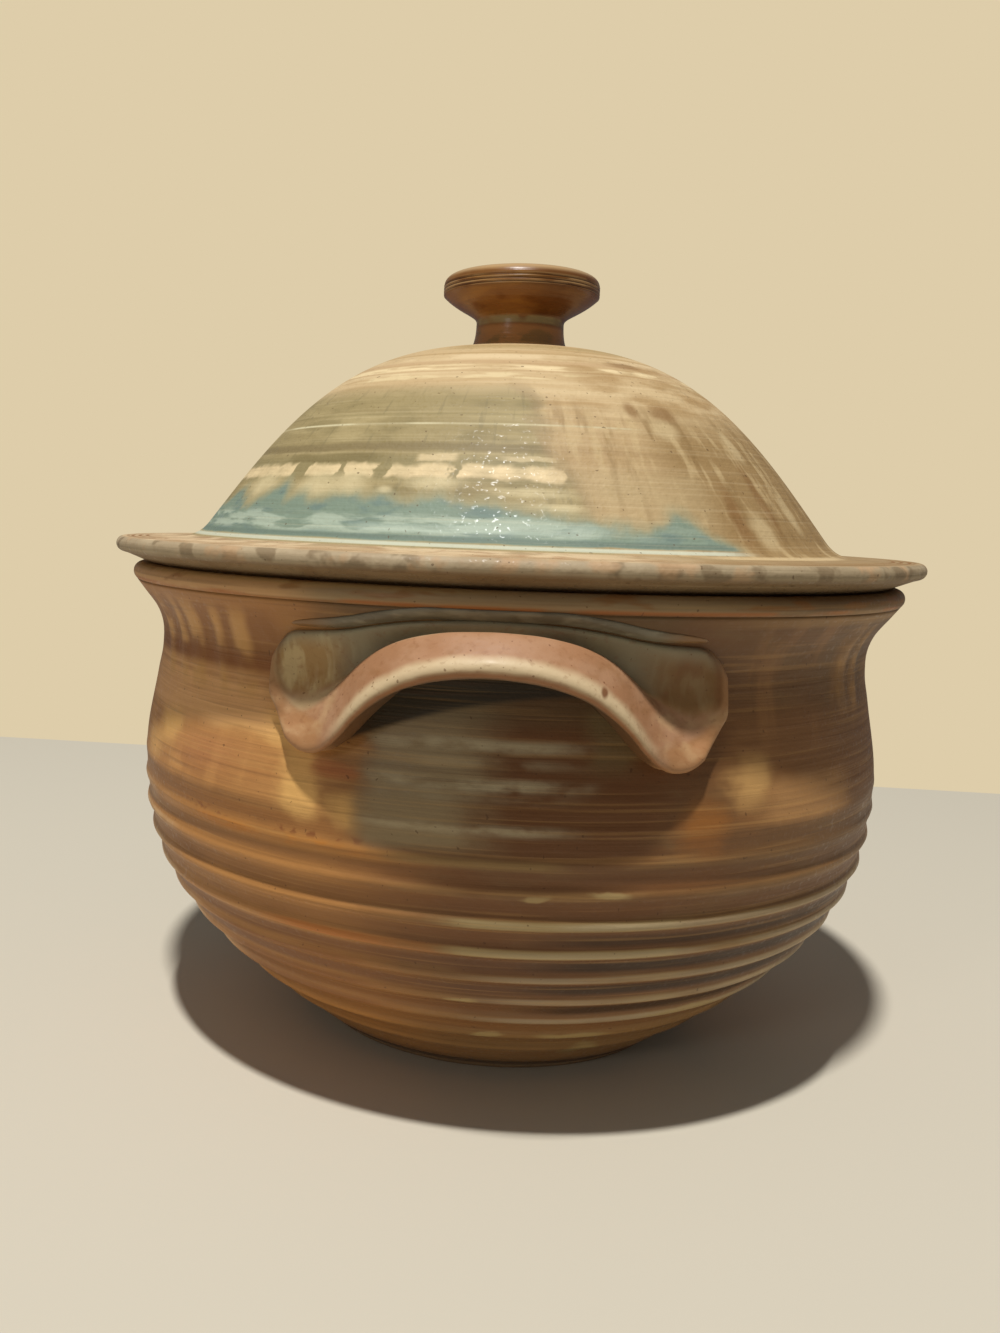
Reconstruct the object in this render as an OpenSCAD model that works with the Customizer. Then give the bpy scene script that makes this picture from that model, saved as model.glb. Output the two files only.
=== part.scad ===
// Hand-thrown stoneware steamer pot: a ridged round pot on a turned foot, two dished handles with
// a grip, a domed lift-off lid with a wide brim and a turned knob, and a pierced steaming tray.
// Millimetres, +Z up. The origin is the centre of the foot, on the table.
// The front handle faces -Y.

/* [Pot] */
// Radius of the foot where it meets the table
foot_r = 64.5; // [62:0.5:66]
// Height of the turned foot ring
foot_h = 5; // [4:0.5:6]
// Radius of the belly at its widest
belly_r = 129.5; // [127:0.5:132]
// Height of the widest part of the belly
belly_z = 96; // [93:1:99]
// Radius of the neck under the rim
neck_r = 124.2; // [122:0.2:126]
// Height of the narrowest part of the neck
neck_z = 137; // [134:1:139]
// Outer radius of the rolled rim
rim_r = 134.2; // [133:0.2:136]
// Height of the rim, where the lid rests
rim_z = 161; // [158:1:164]
// Thickness of the thrown wall
wall_t = 7; // [6:0.5:8]

/* [Throwing ridges] */
// Rise from one throwing ridge to the next
ridge_pitch = 8.6; // [7.5:0.1:10]
// Height of the lowest ridge above the table
ridge_start = 18.6; // [16:0.2:22]
// Depth of the grooves between the ridges
ridge_depth = 1.5; // [0.8:0.1:2]
// Height at which the ridges have faded out
ridge_end = 126; // [112:1:130]

/* [Handles] */
// Half the angle that one handle spans on the wall, in degrees
handle_span = 29.2; // [27:0.2:31]
// Radius to which the grip stands out, from the axis of the pot
grip_r = 148; // [145:0.5:151]
// Height of the crest of the grip
grip_z = 151.4; // [149:0.2:152]
// Thickness of the grip
grip_t = 5.8; // [5:0.2:7]
// Height of the lower edge of the thumb-pressed ends
terminal_low = 112.5; // [109:0.5:115]

/* [Lid] */
// Outer radius of the brim
brim_r = 140; // [137:0.5:143]
// Height of the top of the dome above the brim
dome_h = 68; // [60:1:72]
// Radius at which the dome rises from the brim
dome_r = 108; // [105:0.5:110]
// Thickness of the dome
lid_t = 6.8; // [6:0.2:8]
// Depth of the collar that locates the lid in the mouth
collar_h = 11; // [8:0.5:14]
// Outer radius of the collar
collar_r = 117.6; // [116:0.2:118]

/* [Knob] */
// Radius of the cap of the knob
knob_r = 27.6; // [25:0.2:30]
// Height of the knob above the dome
knob_h = 26.7; // [24:0.2:30]
// Radius of the waist of the knob
waist_r = 15.5; // [13:0.5:17]

/* [Steaming tray] */
// Radius of the tray
tray_r = 111.5; // [109:0.5:112]
// Thickness of the tray
tray_t = 7; // [6:0.5:9]
// Height of the ledge that the tray rests on
ledge_z = 60; // [56:1:64]
// Width of the ledge
ledge_w = 10; // [8:0.5:11]
// Radius of a steam hole
hole_r = 4.5; // [3.5:0.25:5]

/* [Hidden] */
$fn = 128;

body_clay = [0.62, 0.42, 0.29];
raw_clay = [0.78, 0.68, 0.55];
handle_clay = [0.76, 0.56, 0.42];
welt_clay = [0.46, 0.42, 0.35];
lid_clay = [0.66, 0.61, 0.47];
knob_clay = [0.58, 0.40, 0.24];
tray_clay = [0.72, 0.62, 0.48];

// Where the pieces meet
foot_top_r = foot_r + foot_h * 1.1;
foot_in_r = foot_r - 13;
seat_in = 124.5;
seat_out = 128.5;
brim_edge = 2.5;
brim_z = rim_z + 6.2;
dome_top = brim_z + 3.2 + dome_h;
knob_base_r = waist_r + 3;
bead_r = 3;
floor_z = foot_h + 6;

// Curves

function bez(a, b, c, d, n) =
    [for (i = [0:n])
        let (t = i / n, s = 1 - t)
        s * s * s * a + 3 * s * s * t * b + 3 * s * t * t * c + t * t * t * d];

function unit(v) = v / norm(v);

function left_of(v) = [-v[1], v[0]];

// The line of points p moved sideways by the amounts that go from t0 at its start to t1 at its end
function aside(p, t0, t1) =
    let (n = len(p) - 1)
    [for (i = [0:n])
        let (along = unit(p[min(i + 1, n)] - p[max(i - 1, 0)]))
        p[i] + left_of(along) * (t0 + (t1 - t0) * i / n)];

function backward(p) = [for (i = [len(p) - 1:-1:0]) p[i]];

function tail(p) = [for (i = [1:len(p) - 1]) p[i]];

function smooth(x) = let (c = min(max(x, 0), 1)) c * c * (3 - 2 * c);

function mix(a, b, t) = a + (b - a) * t;

// Outside of the pot, from the foot to the underside of the rim

low_pull = 44;
low_angle = 40.5;
belly_pull = 47;

low_line = bez([foot_top_r, foot_h],
               [foot_top_r + low_pull * cos(low_angle), foot_h + low_pull * sin(low_angle)],
               [belly_r, belly_z - belly_pull],
               [belly_r, belly_z], 84);

high_line = bez([belly_r, belly_z], [belly_r, belly_z + 13],
                [neck_r, neck_z - 14], [neck_r, neck_z], 36);

flare_line = bez([neck_r, neck_z], [neck_r, neck_z + 8],
                 [rim_r - 5.4, rim_z - 11.5], [rim_r - 0.9, rim_z - 5.1], 10);

// A ridge is narrow and the groove between two ridges is wide
function ridge(z) =
    let (fade = smooth((ridge_end - z) / (ridge_end - 62)) * smooth((z - foot_h) / 9),
         turn = 0.5 + 0.5 * cos(360 * (z - ridge_start) / ridge_pitch))
    ridge_depth * fade * (pow(turn, 1.8) - 0.5);

function ridged(p) =
    let (n = len(p) - 1)
    [for (i = [0:n])
        let (along = unit(p[min(i + 1, n)] - p[max(i - 1, 0)]))
        p[i] - left_of(along) * ridge(p[i][1])];

wall_line = concat(ridged(low_line), tail(ridged(high_line)), tail(flare_line));

// Radius of the outside of the pot at a height
function wall_at(z) = lookup(z, [for (p = wall_line) [p[1], p[0]]]);

// Inside of the pot, from the floor to the mouth

inner_low = aside(low_line, wall_t + 1, wall_t);
inner_high = aside(high_line, wall_t, wall_t - 0.6);
inner_neck = inner_high[len(inner_high) - 1];
mouth_line = bez(inner_neck, inner_neck + [0, 8],
                 [seat_in - 3.4, rim_z - 7], [seat_in - 2.2, rim_z - 3.2], 10);
lip_line = bez([seat_in - 2.2, rim_z - 3.2], [seat_in - 1.8, rim_z - 1.2],
               [seat_in - 0.8, rim_z], [seat_in + 1.2, rim_z], 6);
inner_line = concat(inner_low, tail(inner_high), tail(mouth_line), tail(lip_line));

function inside_at(z) = lookup(z, [for (p = inner_line) [p[1], p[0]]]);

// The rolled rim: an arc round the bead, from its underside to its top
bead_line = [for (a = [-72:9:90]) [rim_r - bead_r, rim_z - bead_r] + bead_r * [cos(a), sin(a)]];

module pot_body() {
    color(body_clay)
    rotate_extrude()
    polygon(concat([[0, foot_h]], wall_line, bead_line, backward(inner_line),
                   [[inner_low[0][0] - 6, floor_z - 0.6], [0, floor_z - 0.6]]));
}

// Foot ring: trimmed at the wheel, with its bearing face left bare of glaze
module foot_ring() {
    color(raw_clay)
    rotate_extrude()
    polygon([[foot_in_r + 2, 0], [foot_r - 0.8, 0], [foot_r, 0.7], [foot_top_r, foot_h],
             [foot_in_r - 3, foot_h], [foot_in_r, 1.6]]);
}

// Ledge: a coil worked into the inside of the wall, flat on top for the tray
module tray_ledge() {
    ledge_low = ledge_z - 9;
    against_wall = [for (p = inner_line) if (p[1] > ledge_low && p[1] < ledge_z) p];
    ledge_out = inside_at(ledge_z);
    color(body_clay)
    rotate_extrude()
    polygon(concat([[inside_at(ledge_low), ledge_low]], against_wall,
                   [[ledge_out, ledge_z], [ledge_out - ledge_w + 1, ledge_z],
                    [ledge_out - ledge_w, ledge_z - 1], [ledge_out - ledge_w, ledge_z - 2.6],
                    [ledge_out - ledge_w + 1.4, ledge_z - 4.6]]));
}

// Handles

// A closed solid through rings of points that all have the same count
module loft(rings) {
    n = len(rings[0]);
    m = len(rings);
    points = [for (ring = rings) each ring];
    sides = [for (j = [0:m - 2], i = [0:n - 1])
             let (k = (i + 1) % n)
             each [[j * n + i, j * n + k, (j + 1) * n + i],
                   [j * n + k, (j + 1) * n + k, (j + 1) * n + i]]];
    start_cap = [[for (i = [n - 1:-1:0]) i]];
    end_cap = [[for (i = [0:n - 1]) (m - 1) * n + i]];
    polyhedron(points, concat(sides, start_cap, end_cap), convexity = 6);
}

// A point of the pot's own frame from an angle round the axis, a radius and a height
function around(angle, p) = [p[0] * sin(angle), -p[0] * cos(angle), p[1]];

// One handle is a slab of clay on the wall. Its upper edge is joined to the wall all the way along.
// Behind the grip it is dished, its lower edge flares out as the grip, and its two ends are pressed
// flat with a thumb. The rows below were measured at these shares of the handle's half span.
stations = [0, 0.17, 0.31, 0.41, 0.50, 0.58, 0.68, 0.785, 0.89, 0.963, 1];

// Upper edge below the rim, and how far it stands off the wall
edge_drop = [7.8, 8.2, 9.0, 10.0, 11.1, 12.3, 13.2, 13.7, 14.8, 18.4, 23.5];
edge_out = [2.2, 2.2, 2.2, 2.2, 2.3, 2.4, 2.6, 2.9, 3.5, 4.2, 2.8];
// Middle of the dished part: distance off the wall halfway down, and at its floor
dish_out = [3.2, 2.8, 2.2, 1.8, 1.5, 1.4, 1.3, 1.4, 2.2, 4.8, 3.4];
floor_drop = [3.8, 4.1, 6.0, 8.8, 12.4, 16.4, 19.5, 20.5, 20.5, 19.5, 18];
floor_out = [5.2, 4.8, 3.6, 2.6, 1.9, 1.5, 1.2, 1.2, 1.8, 4.8, 3.6];
// Crest of the grip: below grip_z, and off the wall
crest_drop = [0, 0.7, 2.9, 5.4, 9.0, 13.8, 21.6, 29.2, 29.8, 26.4, 21.6];
crest_out = [9.4, 9.6, 9.2, 8.2, 7.4, 6.3, 4.6, 3.6, 3.6, 4.8, 3.2];
// Rounded lower edge: inside grip_r, and above terminal_low
grip_in = [2.9, 3.7, 5.9, 8.2, 10.5, 12.9, 15.4, 16.9, 18.5, 19.9, 21];
grip_rise = [31.2, 29.9, 26.7, 22.1, 16.9, 10.0, 4.7, 3.5, 6.2, 11.8, 18];
// Share of the clay's half thickness left at the lower edge
grip_size = [1, 1, 1, 0.97, 0.92, 0.84, 0.76, 0.7, 0.68, 0.62, 0.48];
// Line where the underside meets the wall, above terminal_low, and the hollow for the fingers
under_rise = [28.5, 27.5, 24, 18.5, 13, 6.5, 1.5, 0.4, 2.8, 8.6, 15.4];
under_lift = [3.2, 3.0, 2.4, 1.5, 0.6, 0, 0, 0, 0, 0, 0];
into_wall = 0.15;
ease = 0.035;

// Value of a row of stations at a share of the half span, eased from one station to the next
function row(values, u) =
    let (pairs = [for (i = [0:len(stations) - 1]) [stations[i], values[i]]])
    (lookup(abs(u - ease), pairs) + 2 * lookup(u, pairs) + lookup(min(u + ease, 1), pairs)) / 4;

function off_wall(z, out) = [wall_at(z) + out, z];

function turned(angle, length) = [length * cos(angle), length * sin(angle)];

// Corners cut twice over give a smooth line through a few points, with its two ends kept
function cut_corners(p) =
    concat([p[0]],
           [for (i = [0:len(p) - 2]) each [mix(p[i], p[i + 1], 0.25), mix(p[i], p[i + 1], 0.75)]],
           [p[len(p) - 1]]);

// Section through the handle at a share of its half span, from its upper edge to its underside
function handle_section(u) =
    let (edge_z = rim_z - row(edge_drop, u),
         floor_z = grip_z - row(floor_drop, u),
         crest = off_wall(grip_z - row(crest_drop, u), row(crest_out, u)),
         size = grip_t / 2 * row(grip_size, u),
         grip = [grip_r - row(grip_in, u), terminal_low + row(grip_rise, u)],
         lean = atan2(crest[1] - grip[1], crest[0] - grip[0]),
         under_z = terminal_low + row(under_rise, u),
         under = off_wall(under_z, -into_wall),
         heel = grip + turned(lean + 100, size))
    [off_wall(edge_z, -into_wall),
     off_wall(edge_z - 0.5, row(edge_out, u)),
     off_wall(mix(edge_z, floor_z, 0.45), row(dish_out, u)),
     off_wall(floor_z, row(floor_out, u)),
     crest + turned(lean, 1.6),
     mix(crest, grip, 0.5) + turned(lean - 90, size * 0.35 + 0.6),
     grip + turned(lean - 100, size * 1.05),
     grip + turned(lean - 155, size * 1.5),
     grip + turned(lean + 155, size * 1.5),
     heel,
     mix(heel, under, 0.5) + [0, row(under_lift, u)],
     under];

function handle_ring(a) =
    let (u = abs(a) / handle_span,
         line = cut_corners(cut_corners(handle_section(u))),
         low = line[len(line) - 1][1],
         high = line[0][1])
    [for (p = concat(line, [for (i = [1:5]) off_wall(mix(low, high, i / 6), -into_wall)])) around(a, p)];

module handle() {
    steps = 48;
    loft([for (j = [0:steps])
          let (x = 2 * j / steps - 1)
          handle_ring(handle_span * sign(x) * (1 - pow(1 - abs(x), 1.25)))]);
}

module front_handle() {
    color(handle_clay) handle();
}

module rear_handle() {
    color(handle_clay) rotate([0, 0, 180]) handle();
}

// Welt: the coil worked into the joint above the handle, from one pressed end to the other
welt_span = 27;
welt_half = 1.7;
welt_rise = 1.1;

function welt_z(a) = rim_z + 2.1 - max(8.6, row(edge_drop, abs(a) / handle_span));

function welt_ring(a) =
    let (z = welt_z(a),
         size = sqrt(max(0.03, 1 - pow(abs(a) / welt_span, 10))))
    concat([for (t = [-90:22.5:90])
            let (h = z - size * welt_half * sin(t))
            around(a, [wall_at(h) + size * welt_rise * cos(t) - into_wall, h])],
           [for (t = [60:-30:-60])
            let (h = z - size * welt_half * sin(t))
            around(a, [wall_at(h) - into_wall * 2, h])]);

module welt() {
    steps = 36;
    loft([for (j = [0:steps]) welt_ring(welt_span * (2 * j / steps - 1))]);
}

module front_handle_welt() {
    color(welt_clay) welt();
}

module rear_handle_welt() {
    color(welt_clay) rotate([0, 0, 180]) welt();
}

// Lid

dome_lean = 53.4;
dome_foot_z = brim_z + 8.8;
crown_pull = 45;

dome_line = bez([dome_r, dome_foot_z],
                [dome_r - 35.4 * cos(dome_lean), dome_foot_z + 35.4 * sin(dome_lean)],
                [knob_base_r + crown_pull, dome_top], [knob_base_r, dome_top], 40);

brim_top = brim_z + brim_edge + 0.6;
foot_out = dome_r + 9;

foot_line = bez([foot_out, brim_top], [dome_r + 4.5, brim_top + 0.4],
                [dome_r + 2.2, dome_foot_z - 3], [dome_r, dome_foot_z], 8);

// Fine lines cut into the brim near its edge
brim_lines = [brim_r - 5.4, brim_r - 7.8, brim_r - 10.2];
line_half = 0.5;
line_deep = 0.45;

function brim_height(r) =
    let (edge_r = brim_r - brim_edge)
    mix(brim_z + brim_edge, brim_top, (edge_r - r) / (edge_r - foot_out));

brim_cut = [for (r = brim_lines)
            each [[r + line_half, brim_height(r + line_half)], [r, brim_height(r) - line_deep],
                  [r - line_half, brim_height(r - line_half)]]];

edge_line = [for (a = [-90:15:90]) [brim_r - brim_edge, brim_z] + brim_edge * [cos(a), sin(a)]];

under_line = aside(dome_line, lid_t, lid_t);
under_foot = bez([collar_r - 4, rim_z], [collar_r - 7, rim_z + 2.4],
                 [under_line[0][0] + 2.4, under_line[0][1] - 3.2], under_line[0], 8);

module lid_dome() {
    color(lid_clay)
    rotate_extrude()
    polygon(concat([[seat_out, rim_z]], edge_line, brim_cut, foot_line, tail(dome_line),
                   [[0, dome_top], [0, dome_top - lid_t]],
                   backward(tail(under_line)), backward(under_foot)));
}

// Collar: a ring under the brim that drops inside the mouth and centres the lid
module lid_collar() {
    collar_low = rim_z - collar_h;
    color(lid_clay)
    rotate_extrude()
    polygon([[collar_r - 4, rim_z], [collar_r - 4.4, collar_low + 2], [collar_r - 3.4, collar_low],
             [collar_r - 2, collar_low], [collar_r, collar_low + 2.2], [collar_r + 0.6, rim_z]]);
}

// Knob: thrown on top of the dome, with a waist and a flat cap with three fine cut lines
module lid_knob() {
    cap_z = dome_top + knob_h - 6;
    waist_z = dome_top + knob_h * 0.38;
    under_cap = bez([waist_r, waist_z], [waist_r, waist_z + 2.9], [knob_r - 5.6, cap_z - 6.6],
                    [knob_r - 0.1, cap_z - 1.4], 12);
    flare = bez([knob_base_r, dome_top], [waist_r + 0.8, dome_top + 1.4],
                [waist_r, waist_z - 5], [waist_r, waist_z], 8);
    side = [for (g = [0:2])
            each [[knob_r, cap_z - 1 + g * 1.2], [knob_r - 0.35, cap_z - 0.7 + g * 1.2],
                  [knob_r, cap_z - 0.4 + g * 1.2]]];
    shoulder = bez([knob_r - 0.1, cap_z + 2.4], [knob_r - 0.4, cap_z + 4.6],
                   [knob_r - 2.6, cap_z + 6], [knob_r - 6.6, cap_z + 6], 8);
    dish = bez([knob_r - 6.6, cap_z + 6], [knob_r - 11, cap_z + 6],
               [10, cap_z + 4.6], [0, cap_z + 4.6], 8);
    color(knob_clay)
    rotate_extrude()
    polygon(concat([[0, dome_top]], flare, tail(under_cap), side, shoulder, tail(dish)));
}

// Steaming tray: a pierced plate with a low raised edge, resting on the ledge
tray_rings = 4;
ring_step = 23.5;

module steaming_tray() {
    top_z = ledge_z + tray_t;
    lip_z = top_z + 2.8;
    color(tray_clay)
    difference() {
        rotate_extrude()
        polygon([[0, ledge_z], [tray_r - 1.6, ledge_z], [tray_r, ledge_z + 1.6],
                 [tray_r, lip_z - 1.4], [tray_r - 1.4, lip_z], [tray_r - 3.4, lip_z],
                 [tray_r - 6, top_z], [0, top_z]]);
        translate([0, 0, ledge_z - 1])
        cylinder(r = hole_r, h = tray_t + 2);
        for (ring = [1:tray_rings], i = [0:6 * ring - 1])
            rotate([0, 0, 60 * i / ring + 15 * ring])
            translate([ring * ring_step, 0, ledge_z - 1])
            cylinder(r = hole_r, h = tray_t + 2);
    }
}

pot_body();
foot_ring();
tray_ledge();
front_handle();
front_handle_welt();
rear_handle();
rear_handle_welt();
lid_dome();
lid_collar();
lid_knob();
steaming_tray();
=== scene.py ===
import math

import bmesh
import bpy
import numpy as np
from mathutils import Matrix, Vector, noise
from mathutils.geometry import interpolate_bezier


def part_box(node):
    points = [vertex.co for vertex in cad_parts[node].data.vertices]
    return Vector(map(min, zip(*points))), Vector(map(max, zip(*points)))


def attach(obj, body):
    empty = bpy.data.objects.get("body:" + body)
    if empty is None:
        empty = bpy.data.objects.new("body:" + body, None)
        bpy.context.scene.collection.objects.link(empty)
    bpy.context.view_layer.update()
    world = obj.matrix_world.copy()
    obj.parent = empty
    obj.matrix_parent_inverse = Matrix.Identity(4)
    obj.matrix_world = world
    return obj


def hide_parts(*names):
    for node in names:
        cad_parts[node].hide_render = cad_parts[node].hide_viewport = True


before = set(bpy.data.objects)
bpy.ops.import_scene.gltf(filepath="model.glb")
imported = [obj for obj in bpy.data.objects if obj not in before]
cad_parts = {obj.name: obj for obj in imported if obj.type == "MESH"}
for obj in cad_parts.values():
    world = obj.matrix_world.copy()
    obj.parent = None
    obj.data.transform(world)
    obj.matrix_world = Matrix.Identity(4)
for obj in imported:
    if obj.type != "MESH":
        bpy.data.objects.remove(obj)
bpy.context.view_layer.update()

# Pot body: one stoneware bowl thrown on the wheel. The fingers left a ridge at every turn of the
# wheel, and the rim is rolled outwards to carry the lid. Sizes are millimetres and turns are
# degrees from the middle of the front handle, positive to the right.
MM = 0.001
pot_low, pot_high = (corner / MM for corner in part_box("pot_body"))
foot_h = pot_low.z
foot_top_r = 70
belly = Vector((129.5, 96))
neck = Vector((124.2, 137))
rim_r, rim_z = pot_high.x, pot_high.z
rim_bead = 3
wall_t = 7
mouth_r = 124.5
floor_z = foot_h + 5.4

ridge_pitch = 9.1
ridge_start = 15.8
ridge_depth = 1.5
ridge_sharp = 2.4
ridge_sunk = 0.46
ridge_full_z = 70
ridge_end = 106


def smooth(x):
    c = min(max(x, 0), 1)
    return c * c * (3 - 2 * c)


def curve(start, pull, push, end, points):
    return interpolate_bezier(Vector(start), Vector(pull), Vector(push), Vector(end), points)


def across(line, i):
    """Unit vector out of a line of the outline, at its point i, to the right of its run."""
    along = (line[min(i + 1, len(line) - 1)] - line[max(i - 1, 0)]).normalized()
    return Vector((along.y, -along.x))


def moved(line, first, last):
    """The line moved out of the clay by an amount that goes from first to last along it."""
    ends = len(line) - 1
    return [p + across(line, i) * (first + (last - first) * i / ends) for i, p in enumerate(line)]


def ridge(z):
    fade = smooth((ridge_end - z) / (ridge_end - ridge_full_z)) * smooth((z - foot_h) / 9)
    turn = 0.5 + 0.5 * math.cos(math.tau * (z - ridge_start) / ridge_pitch)
    return ridge_depth * fade * (turn ** ridge_sharp - ridge_sunk)


low_line = curve((foot_top_r, foot_h), (foot_top_r + 33.46, foot_h + 28.58),
                 (belly.x, belly.y - 47), belly, 112)
high_line = curve(belly, (belly.x, belly.y + 13), (neck.x, neck.y - 14), neck, 44)
flare_line = curve(neck, (neck.x, neck.y + 8), (rim_r - 5.4, rim_z - 11.5), (rim_r - 0.9, rim_z - 5.1), 14)
smooth_wall = low_line + high_line[1:]
ridged_wall = [p + across(smooth_wall, i) * ridge(p.y) for i, p in enumerate(smooth_wall)]
bead_line = [Vector((rim_r - rim_bead, rim_z - rim_bead)) + rim_bead * Vector((math.cos(a), math.sin(a)))
             for a in (math.radians(12 * step - 72) for step in range(14))]
inner_low = moved(low_line[::3] + [low_line[-1]], -wall_t - 1, -wall_t)
inner_high = moved(high_line[::2] + [high_line[-1]], -wall_t, 0.6 - wall_t)
mouth_line = curve(inner_high[-1], inner_high[-1] + Vector((0, 8)),
                   (mouth_r - 3.4, rim_z - 7), (mouth_r - 2.2, rim_z - 3.2), 10)
lip_line = curve((mouth_r - 2.2, rim_z - 3.2), (mouth_r - 1.8, rim_z - 1.2),
                 (mouth_r - 0.8, rim_z), (mouth_r + 1.2, rim_z), 6)
inner_line = inner_low + inner_high[1:] + mouth_line[1:] + lip_line[1:]
wall_line = ridged_wall + flare_line[1:]
wall_heights = [p.y for p in wall_line]
wall_radii = [p.x for p in wall_line]
under_floor = [Vector((r, foot_h)) for r in (0, 20, 40, 56, 66)]
floor_line = [Vector((r, floor_z)) for r in (50, 30, 12, 0)]
pot_outline = under_floor + wall_line + bead_line + inner_line[::-1] + floor_line


def finished(name, bm, body, slot, *nodes):
    """Makes the worked clay a piece in metres that rides on a body and stands for CAD nodes."""
    bmesh.ops.remove_doubles(bm, verts=bm.verts, dist=0.002)
    bmesh.ops.recalc_face_normals(bm, faces=bm.faces)
    bmesh.ops.scale(bm, vec=(MM, MM, MM), verts=bm.verts)
    for face in bm.faces:
        face.smooth = True
    mesh = bpy.data.meshes.new(name)
    bm.to_mesh(mesh)
    bm.free()
    piece = bpy.data.objects.new(name, mesh)
    bpy.context.scene.collection.objects.link(piece)
    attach(piece, body)
    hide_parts(*nodes)
    return piece


def thrown(outline, steps, closed=False):
    """Spins an outline of radius and height round the upright axis, in equal steps."""
    bm = bmesh.new()
    line = [bm.verts.new((p[0], 0, p[1])) for p in outline]
    edges = [bm.edges.new(pair) for pair in zip(line, line[1:])]
    if closed:
        edges.append(bm.edges.new((line[-1], line[0])))
    bmesh.ops.spin(bm, geom=line + edges, axis=(0, 0, 1), cent=(0, 0, 0), angle=math.tau,
                   steps=steps, use_merge=True)
    bmesh.ops.remove_doubles(bm, verts=bm.verts, dist=0.002)
    return bm


def tint(code):
    """A colour written as a web code, made linear."""
    parts = (int(code[i:i + 2], 16) / 255 for i in (0, 2, 4))
    return (*(c / 12.92 if c < 0.04045 else ((c + 0.055) / 1.055) ** 2.4 for c in parts), 1)


class Wire:
    """One socket of a glaze. Sums written with it add Math nodes."""

    def __init__(self, glaze, socket):
        self.glaze, self.socket = glaze, socket

    def math(self, operation, *values):
        return self.glaze.node("Math", {"operation": operation}, *values)

    def __add__(self, other):
        return self.math("ADD", self, other)

    def __sub__(self, other):
        return self.math("SUBTRACT", self, other)

    def __rsub__(self, other):
        return self.math("SUBTRACT", other, self)

    def __mul__(self, other):
        return self.math("MULTIPLY", self, other)

    def __truediv__(self, other):
        return self.math("DIVIDE", self, other)

    __radd__, __rmul__ = __add__, __mul__

    def rise(self, low, high):
        """0 below low and 1 above high, with a soft step between them."""
        return self.glaze.node("MapRange", {"interpolation_type": "SMOOTHSTEP"}, self, low, high, 0, 1)

    def band(self, low, high, soft):
        """1 from low to high, with soft sides."""
        return self.rise(low - soft, low + soft) * (1 - self.rise(high - soft, high + soft))


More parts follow.
